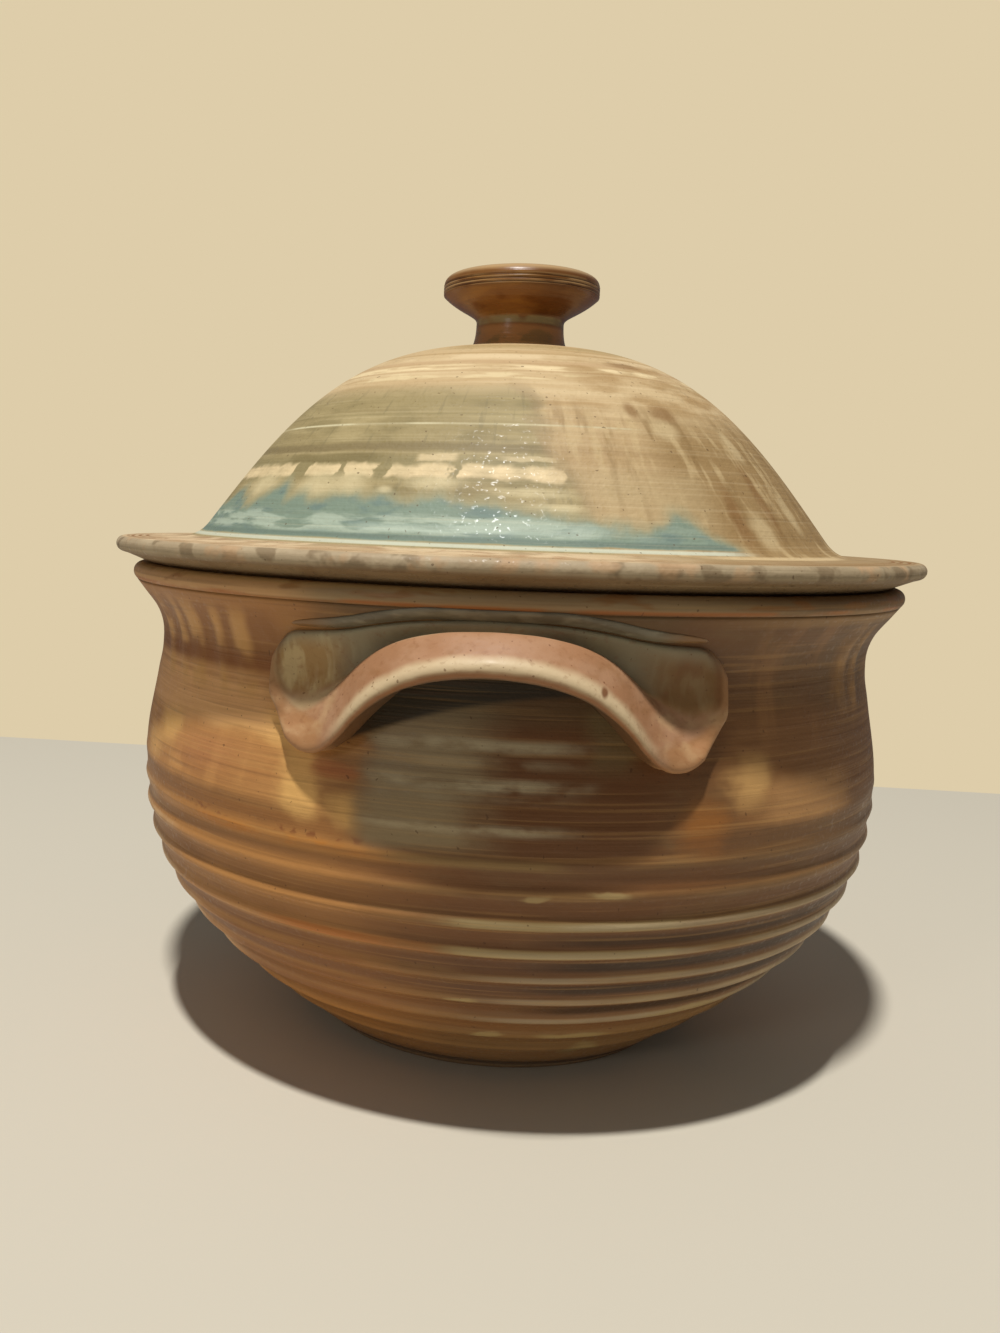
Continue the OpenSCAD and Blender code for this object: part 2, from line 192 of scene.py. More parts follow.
class Glaze:
    """A fired finish, painted coat over coat through masks made from heights, turns and noise."""

    def __init__(self, name, colour):
        self.material = bpy.data.materials.new(name)
        self.material.use_nodes = True
        self.tree = self.material.node_tree
        self.surface = self.tree.nodes["Principled BSDF"]
        metres = self.node("TexCoord", {}, out="Object")
        self.place = self.node("VectorMath", {"operation": "SCALE"}, metres, Scale=1 / MM)
        self.x = self.node("SeparateXYZ", {}, self.place)
        self.y = Wire(self, self.x.socket.node.outputs[1])
        self.height = Wire(self, self.x.socket.node.outputs[2])
        self.radius = self.node("Math", {"operation": "SQRT"}, self.x * self.x + self.y * self.y)
        self.turn = self.node("Math", {"operation": "ARCTAN2"}, self.x, 0 - self.y) * math.degrees(1)
        front = 1 - self.node("Math", {"operation": "GREATER_THAN"}, self.y, 0) * 2
        ahead = self.node("Math", {"operation": "ABSOLUTE"}, self.y)
        self.near = self.node("Math", {"operation": "ARCTAN2"}, self.x * front, ahead) * math.degrees(1)
        self.grain = 0
        self.across, self.up = self.near, self.height
        self.colour = tint(colour)

    def node(self, kind, settings, *values, out=0, **named):
        """Any node. Its settings are set first, then the values or wires of its sockets."""
        made = self.tree.nodes.new("ShaderNode" + kind)
        for key, value in settings.items():
            setattr(made, key, value)
        for key, value in [*enumerate(values), *named.items()]:
            if isinstance(value, Wire):
                self.tree.links.new(value.socket, made.inputs[key])
            elif value is not None:
                made.inputs[key].default_value = value
        return Wire(self, made.outputs[out])

    def cloud(self, round_mm, up_mm, detail=2, rough=0.5, up=None):
        """Noise from 0 to 1 whose spots are round_mm long round the pot and up_mm tall."""
        self.grain += 1
        up = self.height if up is None else up
        spot = self.node("CombineXYZ", {}, self.x / round_mm + self.grain * 7.3,
                         self.y / round_mm - self.grain * 3.1, up / up_mm)
        return self.node("TexNoise", {}, spot, Scale=1, Detail=detail, Roughness=rough)

    def runs(self, round_mm, up_mm, detail=2, up=None):
        """Noise drawn out downwards, for glaze that ran in the kiln."""
        self.grain += 1
        up = self.height if up is None else up
        wide = 129 / round_mm
        spot = self.node("CombineXYZ", {}, self.x / self.radius * wide + self.grain * 5.7,
                         self.y / self.radius * wide - self.grain * 2.9, up / up_mm)
        return self.node("TexNoise", {}, spot, Scale=1, Detail=detail, Roughness=0.5)

    def wander(self, amount, round_mm, up_mm, detail=2):
        """Noise from -amount to amount, to make the edge of a coat wander."""
        return (self.cloud(round_mm, up_mm, detail) - 0.5) * (2 * amount)

    def spot(self, turn, up, wide, tall, soft=0.5):
        """A patch at a place across and up the glaze, wide and tall from its middle to its edge."""
        across = (self.across - turn) / wide
        above = (self.up - up) / tall
        far = self.node("Math", {"operation": "SQRT"}, across * across + above * above)
        return 1 - far.rise(1 - soft, 1 + soft)

    def dab(self, colour, share, soft, *places):
        """Patches of one colour. Each place says how far across and up it is, how wide and how tall."""
        for place in places:
            self.paint(self.spot(*place, soft) * share, colour)

    def paint(self, mask, colour):
        """A coat of another colour, where the mask is above 0."""
        self.colour = self.node("Mix", {"data_type": "RGBA"}, mask, None, None, None, None, None,
                                self.colour, tint(colour), out=2)

    def fire(self, rough, relief, coat=0.04):
        """Lays the coats on the surface, with its gloss and its relief in millimetres."""
        self.tree.links.new(self.colour.socket, self.surface.inputs["Base Color"])
        self.tree.links.new(rough.socket, self.surface.inputs["Roughness"])
        bump = self.node("Bump", {}, Height=relief, Distance=MM, Strength=1)
        self.tree.links.new(bump.socket, self.surface.inputs["Normal"])
        self.surface.inputs["Coat Weight"].default_value = coat
        self.surface.inputs["Coat Roughness"].default_value = 0.25
        self.surface.inputs["Specular IOR Level"].default_value = 0.32
        return self.material


def laid_on(piece, *finishes):
    for finish in finishes:
        piece.data.materials.append(finish)


glaze = Glaze("pot_glaze", "A7743E")
h, near = glaze.height, glaze.near
# The edge of every coat wanders, as it does on a glaze that was poured and then melted
glaze.across = near + glaze.wander(5, 34, 22, 3) + glaze.wander(1.5, 7, 6, 2)
glaze.up = h + glaze.wander(3, 30, 16, 3) + glaze.wander(1, 7, 5, 2)
turn, up = glaze.across, glaze.up
# Both halves of the pot carry the same coats, which fade to the plain glaze at its two sides
facing = near.band(-72, 72, 10)


def left_of(low, high):
    return (1 - turn.rise(low, high)) * facing


def right_of(low, high):
    return turn.rise(low, high) * facing


middle = right_of(-24, 0)
right = right_of(16, 44)
glaze.paint(middle, "734D2C")
glaze.paint(right, "76532F")
glaze.paint((1 - h.rise(14, 44)) * 0.7, "A67441")
glaze.paint((1 - h.rise(14, 44)) * middle * 0.9, "896A44")
glaze.paint(glaze.cloud(60, 20, 3).rise(0.45, 0.7) * (1 - middle) * 0.5, "BC8549")
glaze.paint(glaze.cloud(40, 12, 3).rise(0.48, 0.72) * 0.4, "80532C")
glaze.paint(glaze.cloud(24, 9, 4).rise(0.52, 0.75) * middle * 0.4, "846A44")

# The glaze is thick and dark in the grooves and thin and pale on the ridges
ridge_h = h + glaze.wander(0.5, 40, 30)
fade = 1 - h.rise(78, 100)
ridge_turn = (ridge_h - ridge_start) * (math.tau / ridge_pitch)
swell = glaze.node("Math", {"operation": "COSINE"}, ridge_turn) * 0.5 + 0.5
groove = (1 - swell.rise(0.05, 0.6)) * fade * h.rise(12, 24)
crest = swell.rise(0.62, 0.96) * fade * h.rise(10, 24)
ridged_belly = h.band(40, 62, 8)
glaze.paint(groove * 0.3, "82512A")
glaze.paint(groove * middle * ridged_belly * 0.7, "5A3920")
glaze.paint(groove * right_of(2, 16) * h.band(34, 68, 5) * 0.85, "37230E")
glaze.paint(groove * (1 - middle) * h.band(38, 60, 5) * 0.6, "724423")
broken = glaze.cloud(30, 8, 2).rise(0.34, 0.56)
glaze.paint(crest * (1 - middle) * (0.45 + broken * 0.5), "BD8549")
glaze.paint(crest * turn.band(-30, -6, 6) * h.band(56, 66, 2) * 0.9, "BF7534")
glaze.paint(crest * middle * (0.25 + broken * 0.5), "936E42")
glaze.paint(crest * turn.band(-4, 26, 3) * h.band(56, 75, 2) * 0.9, "AD9462")
glaze.paint(crest * right * h.band(56, 75, 3) * 0.8, "A1804D")
glaze.paint(crest * right_of(15, 27) * h.band(30, 56, 4) * (0.4 + broken * 0.6), "9F8257")
glaze.paint(crest * turn.band(-46, -16, 5) * h.band(30, 55, 4) * 0.8, "8C582B")
glaze.paint((1 - h.rise(12, 19)) * 0.5, "B18253")
glaze.paint(crest * left_of(-57, -48) * broken * 0.7, "D4AE7E")
glaze.paint(right_of(46, 57) * (1 - h.rise(40, 56)) * 0.6, "584227")
crest_line = swell.rise(0.8, 0.98) * fade * glaze.cloud(50, 10, 2).rise(0.3, 0.5)
glaze.paint(crest_line * right_of(-8, 10) * h.band(30, 76, 3) * 0.45, "B9A98C")
glaze.dab("AC9261", 0.85, 0.4, (6, 79, 2.2, 1.1), (16, 79.2, 2.6, 1), (-3.6, 43, 2.4, 1.2),
          (2, 25, 2.6, 1.1), (17, 25.4, 5.5, 1.4), (37, 33.6, 9, 1.1), (22, 14, 3, 4))

# Gold streaks on the topmost ridge
glaze.paint(turn.band(-60, -10, 6) * h.band(85.6, 89.6, 1.4) * 0.75, "BE8342")
gold = glaze.cloud(16, 5).rise(0.45, 0.6)
glaze.paint(turn.band(-46, -16, 5) * h.band(86.4, 89.4, 1) * gold * 0.8, "C37D32")
glaze.paint(turn.band(-12, 8, 3) * h.band(86.6, 89.4, 1) * 0.7, "927444")
iron = glaze.cloud(4, 3).rise(0.5, 0.62)
glaze.paint(turn.band(-48, -12, 5) * h.band(90, 91.6, 0.7) * iron * 0.7, "773C1F")
glaze.paint(left_of(-26, -8) * h.band(91, 97, 2) * 0.6, "925F30")

# Left of the handle: soft tan, pink and cream where the glaze is thin
bloom = left_of(-24, -18) * up.band(98, 125, 3)
glaze.paint(bloom * 0.9, "C48C51")
glaze.paint(bloom * glaze.cloud(26, 12, 3).rise(0.45, 0.65) * 0.6, "AF7542")
glaze.paint(bloom * glaze.runs(12, 30, 3).rise(0.5, 0.66) * 0.5, "D99F5D")
for share, place in ((0.8, (-54, 114, 4, 8)), (0.5, (-60, 104, 4, 5)), (0.9, (-36, 119, 7, 3.6)),
                     (0.5, (-46, 120, 6, 3)), (0.7, (-47, 128, 15, 2.4)), (0.9, (-29, 119, 4.5, 5)),
                     (0.7, (-25.5, 112, 2.6, 5)), (0.9, (-24.4, 101, 2.9, 6.4)), (0.75, (-16, 99, 4, 5))):
    glaze.dab("EAB66B", share, 0.55, place)
glaze.dab("BB7F50", 0.6, 0.8, (-42, 108, 8, 5))
glaze.dab("AB6535", 0.75, 0.6, (-20, 109.5, 3.4, 2.2))

# Right of the handle: cream and pink, and an orange lick under the pressed end
glaze.paint(right_of(28, 33) * up.band(96, 128, 6) * 0.7, "926438")
glaze.paint(turn.band(36, 54, 4) * up.band(97, 109, 3) * 0.8, "B78854")
glaze.dab("D0A263", 0.85, 0.6, (33.8, 109.5, 3, 6.5))
glaze.dab("A86A2C", 0.6, 0.8, (27, 98.5, 2.6, 6.5))
glaze.paint(glaze.runs(10, 40, 3).rise(0.48, 0.66) * right_of(30, 36) * h.rise(112, 124) * 0.5, "9F7041")
glaze.paint(right_of(44, 58) * h.rise(108, 140) * 0.5, "72552D")

# Under the grip: grey green glaze that gathered in bands, with red brown between them, and painted shade on
# the wall just under the grip
under = turn.band(-15, 21, 3) * up.band(91, 150, 3)
glaze.paint(under * 0.95, "704724")
glaze.paint(under * left_of(-5, 4) * 0.75, "A18D67")
# Painted shade: the wall under the grip is made darker towards its top, where the grip shades it
glaze.paint(under * h.rise(121, 129) * 0.6, "5D4C30")
# The curved lower edge of the painted shadow under the grip
grip_shadow_reach = (12 - near) / 28
grip_shadow_edge = 133 - grip_shadow_reach * grip_shadow_reach * 13
for band_h, tall, share in ((119.3, 1.6, 0.9), (114.8, 1.2, 0.4), (109, 1.6, 0.9), (105.5, 1, 0.3),
                            (97.3, 1.3, 0.8)):
    along = h + glaze.wander(0.8, 18, 12)
    gathered = along.band(band_h - tall, band_h + tall, 1.2) * turn.band(-13, 9, 5)
    glaze.paint(gathered * glaze.cloud(12, 6, 3).rise(0.3, 0.6) * share, "BAA884")
glaze.paint(turn.band(11, 17, 2) * h.band(114, 130, 4) * 0.6, "7B6A45")
# Painted shadow: a near black coat on the wall right under the grip, above that curved edge, stands in for
# the grip's shadow
glaze.paint((h - grip_shadow_edge).rise(-1, 1) * near.band(-20, 18, 1.5) * (1 - h.rise(141, 145)) * 0.9, "332B1E")
glaze.paint(left_of(-33, -27) * up.band(116, 133, 3) * 0.85, "E4AC72")

# Neck: wiped with the fingers beside the handles, so pale and dark strokes lie side by side
finger_strokes = ((-58, 1.6), (-51.8, 1.1), (-47.2, 1.9), (-40.3, 1), (-35.4, 1.6), (56, 1.4), (61, 1.2))
glaze.paint(left_of(-30, -27) * h.band(133, 158, 2) * 0.6, "A6703D")
glaze.paint(left_of(-30, -27) * h.band(133.5, 138.5, 1.6) * 0.7, "885024")
glaze.paint(left_of(-30, -27) * h.band(129.5, 131, 0.8) * 0.4, "8F592A")
leaning = near + glaze.node("Math", {"operation": "SINE"}, (h - 130) / 7) * 0.9 + glaze.wander(0.9, 12, 9)
strokes = 0
for stroke_turn, wide in finger_strokes:
    strokes = leaning.band(stroke_turn - wide, stroke_turn + wide, 0.9) + strokes
strokes = strokes * h.band(126, 151, 5) * glaze.cloud(16, 12, 2).rise(0.28, 0.52)
glaze.paint(left_of(-32, -29) * (1 - strokes) * h.band(137, 151, 3) * 0.55, "8C592A")
glaze.paint(strokes * (1 - h.band(133, 138, 1.5) * 0.6) * (1 - right * 0.5) * 0.8, "D29D5A")

# Rim: pale tan on the left, partly glaze and partly a painted highlight, grey olive over the handle and
# brown to the right
glaze.paint(h.band(152.5, 156.4, 0.8) * left_of(-30, -10) * 0.6, "B07A41")
glaze.paint(h.band(147, 156.6, 1.4) * turn.band(-20, 22, 5) * 0.8, "6E5534")
glaze.paint(h.rise(156, 157) * 0.9, "A68B62")
# Partly painted highlight: the pale coat on the left of the rim stands in for the light its top catches
# there, over a paler glaze
glaze.paint(h.rise(156, 157) * left_of(-28, -18) * 0.8, "D6A269")
glaze.paint(h.rise(156, 157) * right * 0.8, "6D4F2C")
# Partly painted highlight: a pale coat along the very top of the rim on its left half
glaze.paint(h.rise(159.4, 160.6) * left_of(-10, 10) * 0.6, "BE9B5F")
glaze.paint(h.band(156, 157, 0.5) * glaze.cloud(26, 20).rise(0.42, 0.56) * 0.8, "AC6427")
glaze.paint(h.rise(157, 158) * glaze.cloud(18, 4).rise(0.55, 0.66) * 0.6, "935D28")
glaze.paint(h.band(152.5, 156.4, 0.8) * right * 0.6, "A17B4A")

# Wheel lines, iron specks and a fine orange peel
fine = glaze.cloud(70, 1.3, 2)
glaze.paint(fine.rise(0.54, 0.72) * 0.22, "613C1F")
glaze.paint((1 - fine.rise(0.3, 0.46)) * 0.16, "D9A763")
glaze.paint(glaze.cloud(1.1, 1.1, 0).rise(0.81, 0.85) * 0.5, "472A13")
swelling = glaze.cloud(46, 7, 2) * 0.5
peel = glaze.cloud(1.7, 1.7, 2) * 0.1
rough = 0.42 + glaze.cloud(16, 8, 3) * 0.2 - glaze.cloud(1.6, 1.6, 1).rise(0.58, 0.7) * 0.16
pot_glaze = glaze.fire(rough, fine * 0.2 + peel + swelling)

liner = Glaze("liner_glaze", "7A5A3A")
liner.paint(liner.cloud(60, 6, 3).rise(0.4, 0.65) * 0.6, "93714A")
liner.paint(liner.cloud(20, 20, 3).rise(0.5, 0.7) * 0.5, "5C442C")
liner.paint(liner.cloud(1.6, 1.6, 0).rise(0.78, 0.83) * 0.6, "35210F")
liner_glaze = liner.fire(0.3 + liner.cloud(20, 6) * 0.15, liner.cloud(60, 1.4, 1) * 0.25)

# The strokes stand out a little from the neck, which is pressed in beside the handles
worked_low = 12
stroke_low, stroke_high = 124, 152
stroke_rise = 0.75
press_depth = 0.4
press_start = 31
wobble = 0.35
wobble_top = 110


def shaped_by_hand(bm):
    """Leaves the finger strokes on the neck, and the wall below it not quite even."""
    for vert in bm.verts:
        x, y, z = vert.co
        r = math.hypot(x, y)
        if not worked_low < z < stroke_high or r < np.interp(z, wall_heights, wall_radii) - 3:
            continue
        place_round = math.degrees(math.atan2(x if y < 0 else -x, abs(y)))
        on_neck = smooth((z - stroke_low) / 8) * smooth((stroke_high - z) / 6)
        out = wobble * noise.noise(Vector((x / 50, y / 50, z / 13))) * smooth((wobble_top - z) / 12)
        lean = 0.9 * math.sin((z - 130) / 7)
        for stroke_turn, wide in finger_strokes:
            off = (place_round + lean - stroke_turn) / (wide + 0.6)
            out += stroke_rise * math.exp(-off * off) * on_neck
        out -= press_depth * smooth((abs(place_round) - press_start) / 3) * on_neck
        vert.co += Vector((x, y, 0)).normalized() * out


pot_bm = thrown(pot_outline, steps=330)
shaped_by_hand(pot_bm)
bmesh.ops.recalc_face_normals(pot_bm, faces=pot_bm.faces)
inside_floor_top = 40
for face in pot_bm.faces:
    middle_point = face.calc_center_median()
    inward = face.normal.x * middle_point.x + face.normal.y * middle_point.y < 0
    on_floor = face.normal.z > 0.5 and middle_point.z < inside_floor_top
    if inward or on_floor:
        face.material_index = 1
pot = finished("pot", pot_bm, "pot", "pot_glaze", "pot_body")
laid_on(pot, pot_glaze, liner_glaze)

# Foot ring: trimmed with a turning tool when the pot was leather hard, and wiped clean of glaze,
# so the bare clay shows where it stands.
foot_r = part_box("foot_ring")[1].x / MM
foot_outline = [(53.5, 0), (foot_r - 6.3, 0), (foot_r - 5.6, 0.3), (foot_r - 5.2, 0.9), (foot_r, foot_h),
                (48.5, foot_h), (51.2, 2), (52, 0.6)]
bare = Glaze("bare_foot", "9C7C5A")
bare.paint(bare.cloud(30, 4, 3).rise(0.4, 0.7) * 0.5, "B59A76")
bare.paint(bare.height.rise(1.2, 3.4) * 0.85, "4A3522")
bare.paint(bare.cloud(1, 1, 0).rise(0.74, 0.8) * 0.6, "5A3C24")
bare_foot = bare.fire(0.8 + bare.cloud(1, 1) * 0.15, bare.cloud(0.9, 0.9, 2) * 0.12, coat=0)
foot_bm = thrown(foot_outline, steps=192, closed=True)
foot = finished("foot", foot_bm, "pot", "bare_foot", "foot_ring")
laid_on(foot, bare_foot)

# Ledge: a coil of clay worked on to the inside of the wall, where it carries the tray. Its top is
# flat, its underside slopes back to the wall, and the liner glaze runs over it.
ledge_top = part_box("tray_ledge")[1].z / MM
ledge_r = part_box("tray_ledge")[1].x / MM
ledge_wide = 10
ledge_tall = 9
ledge_in = ledge_r - ledge_wide
ledge_outline = [p for p in inner_line if ledge_top - ledge_tall < p.y < ledge_top - 0.5]
ledge_outline += [Vector((ledge_r, ledge_top))]
ledge_outline += [Vector((ledge_in + inset, ledge_top - drop))
                  for inset, drop in ((1.2, 0), (0.4, 0.3), (0, 1), (0, 2.6), (1.4, 4.6))]
ledge_bm = thrown(ledge_outline, steps=192, closed=True)
ledge = finished("ledge", ledge_bm, "pot", "liner_glaze", "tray_ledge")
laid_on(ledge, liner_glaze)

# Handles: each is a slab of clay joined to the wall along its whole upper edge. It is dished behind
# the grip, its lower edge flares out as the grip, and its two ends are pressed flat with a thumb.
handle_span = 29.8
grip_r = 148
grip_z = 151.4
grip_t = 5.8
terminal_low = 112.5
stations = [0, 0.17, 0.31, 0.41, 0.50, 0.58, 0.68, 0.785, 0.89, 0.963, 1]
edge_drop = [7.8, 8.2, 9.0, 10.0, 11.1, 12.3, 13.2, 13.7, 14.2, 16.8, 22.5]
edge_out = [2.2, 2.2, 2.2, 2.2, 2.3, 2.4, 2.6, 2.9, 3.5, 4.2, 2.8]
dish_out = [3.2, 2.8, 2.2, 1.8, 1.5, 1.4, 1.3, 1.4, 2.2, 4.8, 3.4]
floor_drop = [3.8, 4.1, 6.0, 8.8, 12.4, 16.4, 19.5, 20.5, 20.5, 19.5, 18]
floor_out = [5.2, 4.8, 3.6, 2.6, 1.9, 1.5, 1.2, 1.2, 1.8, 4.8, 3.6]
crest_drop = [0, 0.7, 2.9, 5.4, 9.0, 13.8, 21.6, 29.2, 29.8, 26.4, 21.6]
crest_out = [9.4, 9.6, 9.2, 8.2, 7.4, 6.3, 4.6, 3.6, 3.6, 4.8, 3.2]
grip_in = [2.9, 3.7, 5.9, 8.2, 10.5, 12.9, 15.4, 16.9, 18.5, 19.9, 21]
grip_rise = [31.2, 29.9, 26.7, 22.1, 16.9, 10.0, 4.7, 3.8, 7.4, 13, 18.4]
grip_size = [1, 1, 1, 0.97, 0.92, 0.84, 0.76, 0.7, 0.68, 0.62, 0.48]
under_rise = [28.5, 27.5, 24, 18.5, 13, 6.5, 1.5, 1.2, 4.6, 10.4, 15.6]
under_lift = [3.2, 3.0, 2.4, 1.5, 0.6, 0, 0, 0, 0, 0, 0]
into_wall = 0.15
ease = 0.035


def row(values, u):
    eased = np.interp([abs(u - ease), u, min(u + ease, 1)], stations, values)
    return float(eased @ (0.25, 0.5, 0.25))


def off_wall(z, out):
    return Vector((float(np.interp(z, wall_heights, wall_radii)) + out, z))


def turned(angle, length):
    return Vector((length * math.cos(angle), length * math.sin(angle)))


def cut_corners(line):
    """Cuts every corner of a line, which makes it smoother, and keeps its two ends."""
    cut = [line[0]]
    for a, b in zip(line, line[1:]):
        cut += [a.lerp(b, 0.25), a.lerp(b, 0.75)]
    return cut + [line[-1]]


def handle_section(u):
    """Section through a handle at a share of its half span, from its upper edge to its underside."""
    edge_z = rim_z - row(edge_drop, u)
    dish_z = grip_z - row(floor_drop, u)
    crest = off_wall(grip_z - row(crest_drop, u), row(crest_out, u))
    size = grip_t / 2 * row(grip_size, u)
    grip = Vector((grip_r - row(grip_in, u), terminal_low + row(grip_rise, u)))
    lean = math.atan2(crest.y - grip.y, crest.x - grip.x)
    under = off_wall(terminal_low + row(under_rise, u), -into_wall)
    heel = grip + turned(lean + math.radians(100), size)
    return [off_wall(edge_z, -into_wall), off_wall(edge_z - 0.5, row(edge_out, u)),
            off_wall(edge_z + (dish_z - edge_z) * 0.45, row(dish_out, u)),
            off_wall(dish_z, row(floor_out, u)), crest + turned(lean, 1.6),
            crest.lerp(grip, 0.5) + turned(lean - math.radians(90), size * 0.35 + 0.6),
            grip + turned(lean - math.radians(100), size * 1.05),
            grip + turned(lean - math.radians(155), size * 1.5),
            grip + turned(lean + math.radians(155), size * 1.5), heel,
            heel.lerp(under, 0.5) + Vector((0, row(under_lift, u))), under]


def around(turn, p):
    a = math.radians(turn)
    return Vector((p[0] * math.sin(a), -p[0] * math.cos(a), p[1]))


def lofted(rings):
    """Bridges rings of points that all have the same count, and caps the two ends."""
    bm = bmesh.new()
    share = bm.verts.layers.float.new("share")
    loops = []
    for ring in rings:
        verts = [bm.verts.new(p) for p in ring]
        for i, vert in enumerate(verts):
            vert[share] = i / len(verts)
        loops.append([bm.edges.new(pair) for pair in zip(verts, verts[1:] + verts[:1])])
    for one, two in zip(loops, loops[1:]):
        bmesh.ops.bridge_loops(bm, edges=one + two)
    bmesh.ops.edgeloop_fill(bm, edges=loops[0])
    bmesh.ops.edgeloop_fill(bm, edges=loops[-1])
    return bm


def handle_ring(turn):
    line = cut_corners(cut_corners(handle_section(abs(turn) / handle_span)))
    low, high = line[-1].y, line[0].y
    back = [off_wall(low + (high - low) * i / 6, -into_wall) for i in range(1, 6)]
    return [around(turn, p) for p in line + back]


def handle_turn(share):
    return handle_span * math.copysign(1 - (1 - abs(share)) ** 1.25, share)


grip = Glaze("handle_glaze", "AA7B56")
# around_clay counts the points of handle_section: 0 its upper edge, 4 the crest, 6 to 9 the grip
around_clay = grip.node("Attribute", {"attribute_name": "share"}, out=2) * (51 / 4)
around_clay = around_clay + grip.wander(0.25, 9, 9)
grip_turn = grip.near + grip.wander(1.2, 12, 9)
grip.across = grip.near + grip.wander(0.4, 8, 8)
grip.up = grip.height + grip.wander(0.8, 8, 8)
grip.paint(grip.cloud(16, 9, 3).rise(0.42, 0.66) * 0.5, "BC9270")
grip.paint(grip.cloud(9, 5, 4).rise(0.5, 0.72) * 0.6, "97693F")
crest_lip = around_clay.band(3.5, 4.1, 0.3) * grip.cloud(13, 9, 2).rise(0.36, 0.52)
grip.paint(crest_lip * (1 - grip_turn.rise(0, 12) * 0.5) * 0.8, "CDB183")
grip.paint(around_clay.band(5.9, 6.9, 0.3) * grip_turn.band(-17, 17, 3) * 0.85, "DCC49A")
grip.paint(around_clay.band(7, 7.5, 0.3) * 0.7, "8E5A2E")
grip.paint(around_clay.rise(7.2, 8) * 0.9, "6E4C2C")
grip.paint(around_clay.rise(7.2, 8) * grip_turn.band(-14, 14, 4) * 0.7, "57493A")

# The dished ends hold an olive glaze, and the dish between them a grey one that ran down in streaks
dished = 1 - around_clay.rise(3.1, 3.7)
grip.paint(dished * 0.95, "AC8852")
grip.paint(dished * grip.runs(5, 16, 3).rise(0.46, 0.62) * 0.8, "CBB280")
grip.paint(dished * grip.cloud(8, 11, 3).rise(0.52, 0.68) * 0.7, "925F2C")
grip.paint(dished * grip_turn.band(14, 40, 2) * 0.7, "6A4622")
# Partly painted highlight: pale grey along the rounded upper edge of the dish, where the top of the slab
# catches the light
grip.paint(dished * (1 - around_clay.rise(1, 2.2)) * 0.6, "A8A184")
grip.paint(dished * grip_turn.band(-19, 19, 3) * 0.85, "918466")
# Partly painted highlight: a pale line along the top of the grey dish between the ends
grip.paint(dished * grip_turn.band(-19, 19, 3) * (1 - around_clay.rise(0.8, 1.6)) * 0.7, "AA9E7C")
# A pale lip with a brown line inside it goes round each pressed end
pressed = grip.spot(-21, 138, 7.6, 15, 0.06) + grip.spot(21, 136, 7.6, 15, 0.06)
inner = grip.spot(-21, 138, 6.9, 13.6, 0.08) + grip.spot(21, 136, 6.9, 13.6, 0.08)
ear = 1 - grip.near.band(-20, 20, 1)
grip.paint(ear * (1 - pressed) * 0.85, "AC7C50")
grip.paint(ear * pressed * (1 - inner) * around_clay.band(0.4, 3.6, 0.3) * 0.6, "7E4D26")
ear_lip = (1 - grip_turn.band(-19, 19, 1)) * around_clay.band(3.7, 6.2, 0.4)
grip.paint(ear_lip * grip.cloud(7, 4, 2).rise(0.4, 0.7) * 0.5, "CFAA7C")

# The nick in the lower edge, and fine rust
grip.dab("7A4A28", 0.9, 0.5, (11.6, 137.2, 0.35, 1.2))
grip.paint(grip.cloud(2.2, 1.6, 3).rise(0.56, 0.72) * 0.3, "8A5A36")
grip.paint(grip.cloud(1, 1, 0).rise(0.8, 0.84) * 0.6, "6B4122")
handle_glaze = grip.fire(0.46 + grip.cloud(8, 8, 2) * 0.16, grip.cloud(3, 3, 3) * 0.2)

bead_span = math.radians(22)
bead_rise = 0.55
ends_from = math.radians(26)


def place_round(vert):
    return abs(math.atan2(vert.co.x, -vert.co.y))


def outwards(vert):
    return Vector((vert.co.x, vert.co.y, 0)).normalized()


def softened(bm, verts, times):
    for _ in range(times):
        bmesh.ops.smooth_vert(bm, verts=verts, factor=0.5, use_axis_x=True, use_axis_y=True,
                              use_axis_z=True)


def kneaded(bm):
    """Softens the clay as wet fingers do, and most at the two ends. The grip keeps a bead along its
    lower edge and a slightly lumpy face."""
    share = bm.verts.layers.float["share"]
    worked = [vert for vert in bm.verts if 0.03 < vert[share] < 0.88]
    softened(bm, worked, 9)
    softened(bm, [vert for vert in worked if place_round(vert) > ends_from], 16)
    for vert in worked:
        on_bead = max(0, 1 - abs(vert[share] - 0.5) / 0.06)
        bead = on_bead * smooth((bead_span - place_round(vert)) / 0.1)
        vert.co += outwards(vert) * bead_rise * bead
        on_face = max(0, 1 - abs(vert[share] - 0.38) / 0.14)
        lump = 0.6 * noise.noise(vert.co / 13) + 0.2 * noise.noise(vert.co / 5) - 0.6
        vert.co += outwards(vert) * lump * on_face


def swung(bm, degrees):
    """Swings a handle's clay round the pot."""
    spin = Matrix.Rotation(math.radians(degrees), 3, "Z")
    bmesh.ops.rotate(bm, cent=(0, 0, 0), matrix=spin, verts=bm.verts)


sides = (("front", 0), ("rear", 180))
handle_rings = [handle_ring(handle_turn(step / 60 - 1)) for step in range(121)]
for side, half_turn in sides:
    bm = lofted(handle_rings)
    kneaded(bm)
    swung(bm, half_turn)
    handle = finished(f"{side}_grip_handle", bm, "pot", "handle_glaze", f"{side}_handle")
    laid_on(handle, handle_glaze)

# Welts: a thin coil of clay laid along the joint above each handle, from one pressed end to the
# other, and worked into the wall. It thins out at its two ends.
welt_span = 26.2
welt_half = 1.7
welt_rise = 1.1
welt_over = 2.1
welt_drop = 8.6


def welt_ring(turn):
    z = rim_z + welt_over - max(welt_drop, row(edge_drop, abs(turn) / handle_span))
    size = math.sqrt(max(0.01, 1 - (abs(turn) / welt_span) ** 5))
    ring = []
    for step in range(24):
        t = math.radians(step * 15 - 90)
        height = z - size * welt_half * math.sin(t)
        out = size * welt_rise * math.cos(t) if math.cos(t) > 0 else into_wall * math.cos(t)
        ring.append(around(turn, off_wall(height, out - into_wall)))
    return ring


